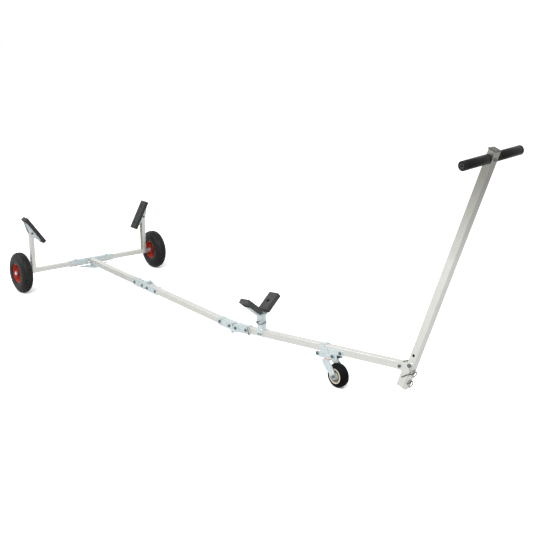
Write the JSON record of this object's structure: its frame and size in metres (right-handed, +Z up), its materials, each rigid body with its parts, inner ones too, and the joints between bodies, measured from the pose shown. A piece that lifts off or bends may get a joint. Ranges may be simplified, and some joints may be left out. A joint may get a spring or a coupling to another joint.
{
  "type": "boat trailer",
  "caption": "Folding hand-launching boat trolley with wheels on swing arms, padded side posts, a V keel support, a swivel castor and a T handle.",
  "frame": {"origin": "on the floor, under the middle of the whole length and width", "axes": "+X forward to the handle, +Y to the left wheel, +Z up"},
  "size_m": [3.369, 1.0744, 1.2153],
  "materials": {
    "cap": "moulded plastic",
    "castor_hub": "cream moulded plastic",
    "castor_tyre": "solid black rubber",
    "fastener": "zinc-plated steel",
    "foam": "closed-cell foam grip",
    "galvanised": "galvanised steel plate, dull spangle",
    "rim": "red moulded plastic",
    "rubber": "matt black rubber",
    "tube": "mill-finish aluminium tube, satin",
    "tyre": "matt black rubber with block tread"
  },
  "bodies": {
    "drawbar_rear": {"drawbar_rear_tube": "tube", "fold_1_rear_shoe": "galvanised", "fold_1_pin": "fastener", "drawbar_rear_bolts": "fastener", "axle_bracket": "galvanised", "axle_gusset": "galvanised", "arm_left_fold_bolt": "fastener", "arm_right_fold_bolt": "fastener"},
    "arm_right": {"arm_right_tube": "tube", "arm_right_stub_axle": "fastener", "arm_right_post": "tube", "arm_right_tilt_bolt": "fastener"},
    "arm_left": {"arm_left_tube": "tube", "arm_left_stub_axle": "fastener", "arm_left_post": "tube", "arm_left_tilt_bolt": "fastener"},
    "pad_right": {"pad_right_channel": "galvanised", "pad_right_rubber": "rubber"},
    "pad_left": {"pad_left_channel": "galvanised", "pad_left_rubber": "rubber"},
    "wheel_right": {"wheel_right_tyre": "tyre", "wheel_right_rim": "rim"},
    "wheel_left": {"wheel_left_tyre": "tyre", "wheel_left_rim": "rim"},
    "drawbar_middle": {"drawbar_middle_tube": "tube", "fold_1_front_shoe": "galvanised", "fold_2_rear_shoe": "galvanised", "fold_2_pin": "fastener", "drawbar_middle_bolts": "fastener"},
    "drawbar_front": {"drawbar_front_tube": "tube", "fold_2_front_shoe": "galvanised", "drawbar_front_bolts": "fastener", "handle_fork": "galvanised", "handle_pivot_bolt": "fastener", "keel_saddle": "galvanised", "castor_clamp": "galvanised", "castor_kingpin": "fastener"},
    "keel_support": {"keel_sleeve": "tube", "keel_vee": "galvanised", "keel_block_right": "rubber", "keel_block_left": "rubber"},
    "castor_fork": {"castor_fork": "galvanised", "castor_axle": "fastener"},
    "castor_wheel": {"castor_wheel_tyre": "castor_tyre", "castor_wheel_hub": "castor_hub"},
    "handle": {"handle_tube": "tube", "handle_head": "cap", "handle_cross_tube": "tube", "handle_grip_left": "foam", "handle_grip_right": "foam"}
  },
  "joints": [
    {"name": "arm_right_fold", "type": "hinge", "parent": "drawbar_rear", "child": "arm_right", "pos_m": [-1.55451, -0.04, 0.13], "axis": [0, 0, -1], "range_deg": [0, 75]},
    {"name": "pad_right_tilt", "type": "hinge", "parent": "arm_right", "child": "pad_right", "pos_m": [-1.55451, -0.414, 0.378], "axis": [-1, 0, 0], "range_deg": [-15, 15]},
    {"name": "wheel_right_spin", "type": "hinge", "parent": "arm_right", "child": "wheel_right", "pos_m": [-1.55451, -0.498, 0.13], "axis": [0, 1, 0], "continuous": true},
    {"name": "arm_left_fold", "type": "hinge", "parent": "drawbar_rear", "child": "arm_left", "pos_m": [-1.55451, 0.04, 0.13], "axis": [0, 0, 1], "range_deg": [0, 75]},
    {"name": "pad_left_tilt", "type": "hinge", "parent": "arm_left", "child": "pad_left", "pos_m": [-1.55451, 0.414, 0.378], "axis": [1, 0, 0], "range_deg": [-15, 15]},
    {"name": "wheel_left_spin", "type": "hinge", "parent": "arm_left", "child": "wheel_left", "pos_m": [-1.55451, 0.498, 0.13], "axis": [0, 1, 0], "continuous": true},
    {"name": "fold_1", "type": "hinge", "parent": "drawbar_rear", "child": "drawbar_middle", "pos_m": [-0.83207, 0, 0.13709], "axis": [0, -1, 0], "range_deg": [0, 180]},
    {"name": "fold_2", "type": "hinge", "parent": "drawbar_middle", "child": "drawbar_front", "pos_m": [0.06436, 0, 0.0656], "axis": [0, 1, 0], "range_deg": [0, 170]},
    {"name": "keel_height", "type": "slide", "parent": "drawbar_front", "child": "keel_support", "axis": [-0.1193, 0, 0.9929], "range_m": [0, 0.04]},
    {"name": "castor_swivel", "type": "hinge", "parent": "drawbar_front", "child": "castor_fork", "pos_m": [0.80142, 0, 0.1763], "axis": [-0.1193, 0, 0.9929], "continuous": true},
    {"name": "castor_spin", "type": "hinge", "parent": "castor_fork", "child": "castor_wheel", "pos_m": [0.86392, 0, 0.0585], "axis": [0, 1, 0], "continuous": true},
    {"name": "handle_swing", "type": "hinge", "parent": "drawbar_front", "child": "handle", "pos_m": [1.31826, 0, 0.25047], "axis": [0, -1, 0], "range_deg": [0, 90]}
  ]
}
